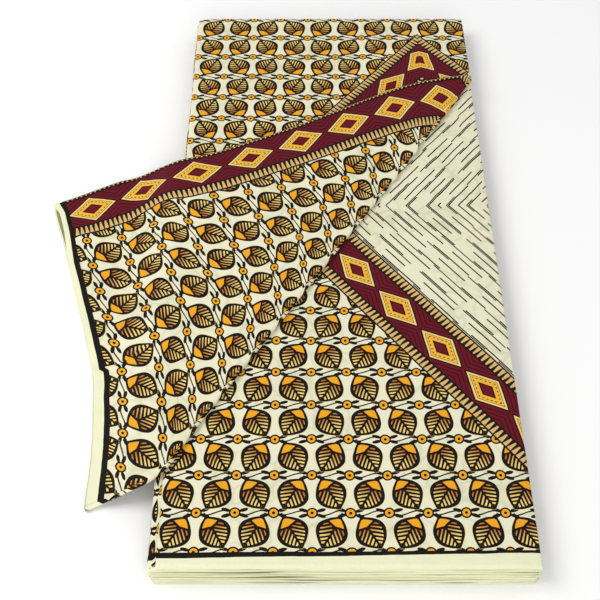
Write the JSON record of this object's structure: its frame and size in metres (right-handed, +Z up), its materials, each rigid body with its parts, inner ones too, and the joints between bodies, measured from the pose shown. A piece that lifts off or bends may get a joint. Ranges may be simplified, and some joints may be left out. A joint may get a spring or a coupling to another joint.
{
  "type": "folded printed cotton cloth",
  "caption": "Length of African wax-print cotton folded into a flat stack, selvedges at one end, with the top layer's corner turned over and draped off the side",
  "frame": {"origin": "on the surface the stack lies on, under the middle of the folded stack", "axes": "+Z up; +Y along the stack from its selvedge end to its folded end; +X to the right, away from the side that the turned corner hangs over"},
  "size_m": [0.3872, 0.5815, 0.0264],
  "materials": {
    "stack_cloth": "matt printed cotton, folded edges",
    "under_cloth": "matt printed cotton",
    "upper_cloth": "matt printed cotton",
    "corner_cloth": "matt printed cotton"
  },
  "bodies": {
    "root": {"folded_stack": "stack_cloth", "under_panel": "under_cloth", "upper_panel": "upper_cloth", "turned_corner": "corner_cloth"}
  },
  "joints": []
}
